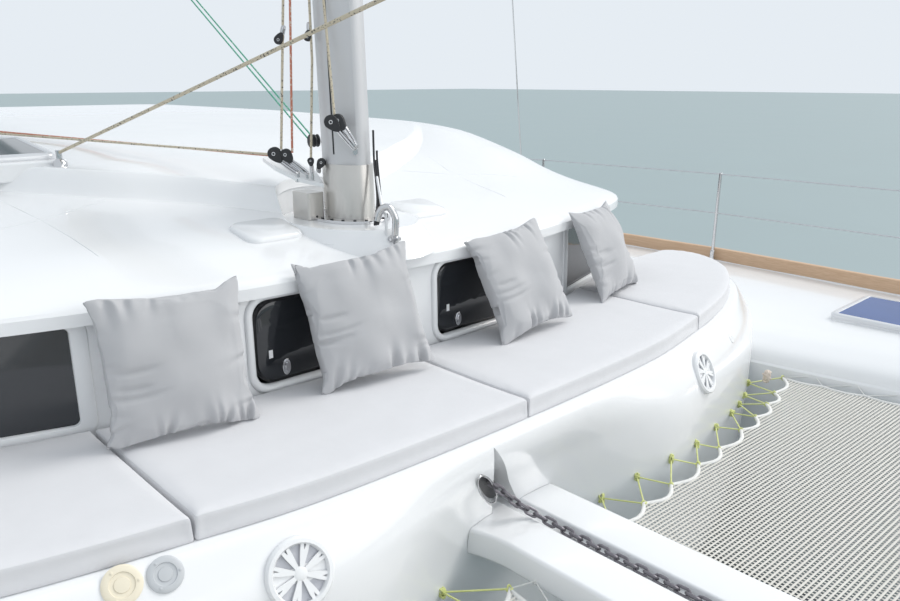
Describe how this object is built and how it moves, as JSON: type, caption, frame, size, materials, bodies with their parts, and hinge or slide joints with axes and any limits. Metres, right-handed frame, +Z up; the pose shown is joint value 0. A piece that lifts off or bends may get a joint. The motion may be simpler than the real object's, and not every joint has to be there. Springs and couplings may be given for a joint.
{
  "type": "sailing catamaran",
  "caption": "Cruising sailing catamaran with a foredeck sunbed, trampolines, a hollow cabin, hardtop, mast, boom and furled headsail.",
  "frame": {"origin": "at the waterline, amidships on the centreline", "axes": "+Z up, bows towards -Y, port towards +X"},
  "size_m": [7.58, 13, 19.892],
  "materials": {
    "gelcoat": "smooth white gelcoat",
    "glass": "near-black tinted acrylic",
    "blue_glass": "blue tinted acrylic in a grey frame",
    "steel": "polished stainless",
    "aluminium": "anodised, satin",
    "bronze": "cast bronze",
    "galvanised": "galvanised, dull",
    "net": "woven strands",
    "teak": "bare teak",
    "cushion": "light grey woven cloth",
    "pillow": "grey melange cloth",
    "sailcloth": "rolled sailcloth",
    "bag": "beige canvas"
  },
  "bodies": {
    "boat": {"hull_port": "gelcoat", "hull_starboard": "gelcoat", "keel_port": "gelcoat", "keel_starboard": "gelcoat", "seat_moulding": "gelcoat", "bridgedeck": "gelcoat", "coachroof": "gelcoat", "cabin_walls": "gelcoat", "cabin_bulkhead": "gelcoat", "cockpit_bench": "gelcoat", "helm_console": "gelcoat", "centre_beam": "gelcoat", "cockpit_coaming_port": "gelcoat", "cockpit_coaming_starboard": "gelcoat", "front_window_port": "glass", "front_window_starboard": "glass", "side_window_port": "glass", "side_window_starboard": "glass", "anchor_roller": "steel", "anchor": "steel", "mast_step": "steel", "shroud_port": "steel", "shroud_starboard": "steel", "guardrail_port": "steel", "guardrail_starboard": "steel", "pulpit_port": "steel", "pulpit_starboard": "steel", "mast": "aluminium", "crossbeam": "aluminium", "saildrive_port": "aluminium", "saildrive_starboard": "aluminium", "anchor_chain": "galvanised", "trampoline_port": "net", "trampoline_starboard": "net", "toe_rail_port": "teak", "toe_rail_starboard": "teak", "cushion_1": "cushion", "cushion_2": "cushion", "cushion_3": "cushion", "cushion_4": "cushion", "pillow_1": "pillow", "pillow_2": "pillow", "pillow_3": "pillow", "pillow_4": "pillow", "forestay": "sailcloth"},
    "wheel": {"steering_wheel": "steel"},
    "rudder_blade_port": {"rudder_port": "gelcoat"},
    "rudder_blade_starboard": {"rudder_starboard": "gelcoat"},
    "screw_port": {"propeller_port": "bronze"},
    "screw_starboard": {"propeller_starboard": "bronze"},
    "light_port": {"portlight_port": "glass"},
    "light_starboard": {"portlight_starboard": "glass"},
    "door": {"saloon_door": "glass"},
    "deck_lid_port": {"deck_hatch_port": "blue_glass"},
    "deck_lid_starboard": {"deck_hatch_starboard": "blue_glass"},
    "engine_lid_port": {"engine_hatch_port": "gelcoat"},
    "engine_lid_starboard": {"engine_hatch_starboard": "gelcoat"},
    "roof_lid": {"roof_hatch": "glass"},
    "boom_and_bag": {"boom": "aluminium", "sail_bag": "bag"}
  },
  "joints": [
    {"name": "wheel_turn", "type": "hinge", "parent": "boat", "child": "wheel", "pos_m": [-1.35, 2.65, 1.78], "axis": [0, 1, 0], "range_deg": [-540, 540]},
    {"name": "door_slide", "type": "slide", "parent": "boat", "child": "door", "axis": [1, 0, 0], "range_m": [0, 1]},
    {"name": "roof_hatch_lift", "type": "hinge", "parent": "boat", "child": "roof_lid", "pos_m": [-1.09, -0.0206, 2.7341], "axis": [1, 0, 0], "range_deg": [0, 78]},
    {"name": "boom_swing", "type": "hinge", "parent": "boat", "child": "boom_and_bag", "pos_m": [0, -0.6373, 3.72], "axis": [0, 0, 1], "range_deg": [-50, 50]},
    {"name": "rudder_port_turn", "type": "hinge", "parent": "boat", "child": "rudder_blade_port", "pos_m": [2.92, 5.35, -0.4], "axis": [0, 0, 1], "range_deg": [-35, 35]},
    {"name": "propeller_port_spin", "type": "hinge", "parent": "boat", "child": "screw_port", "pos_m": [2.92, 3.67, -0.92], "axis": [0, 1, 0], "continuous": true},
    {"name": "portlight_port_swing", "type": "hinge", "parent": "boat", "child": "light_port", "pos_m": [0.42, -1.16, 2.319], "axis": [1, 0, 0], "range_deg": [0, 70]},
    {"name": "deck_hatch_port_lift", "type": "hinge", "parent": "boat", "child": "deck_lid_port", "pos_m": [3.09, -2.41, 1.6945], "axis": [1, 0, 0], "range_deg": [0, 80]},
    {"name": "engine_hatch_port_lift", "type": "hinge", "parent": "boat", "child": "engine_lid_port", "pos_m": [2.92, 4.63, 1.6398], "axis": [1, 0, 0], "range_deg": [0, 85]},
    {"name": "rudder_starboard_turn", "type": "hinge", "parent": "boat", "child": "rudder_blade_starboard", "pos_m": [-2.92, 5.35, -0.4], "axis": [0, 0, 1], "range_deg": [-35, 35]},
    {"name": "propeller_starboard_spin", "type": "hinge", "parent": "boat", "child": "screw_starboard", "pos_m": [-2.92, 3.67, -0.92], "axis": [0, 1, 0], "continuous": true},
    {"name": "portlight_starboard_swing", "type": "hinge", "parent": "boat", "child": "light_starboard", "pos_m": [-0.42, -1.16, 2.319], "axis": [1, 0, 0], "range_deg": [0, 70]},
    {"name": "deck_hatch_starboard_lift", "type": "hinge", "parent": "boat", "child": "deck_lid_starboard", "pos_m": [-3.09, -2.41, 1.6945], "axis": [1, 0, 0], "range_deg": [0, 80]},
    {"name": "engine_hatch_starboard_lift", "type": "hinge", "parent": "boat", "child": "engine_lid_starboard", "pos_m": [-2.92, 4.63, 1.6398], "axis": [1, 0, 0], "range_deg": [0, 85]}
  ],
  "couplings": [
    {"joint": "rudder_port_turn", "follows": "wheel_turn", "ratio": 0.0648},
    {"joint": "rudder_starboard_turn", "follows": "wheel_turn", "ratio": 0.0648}
  ]
}
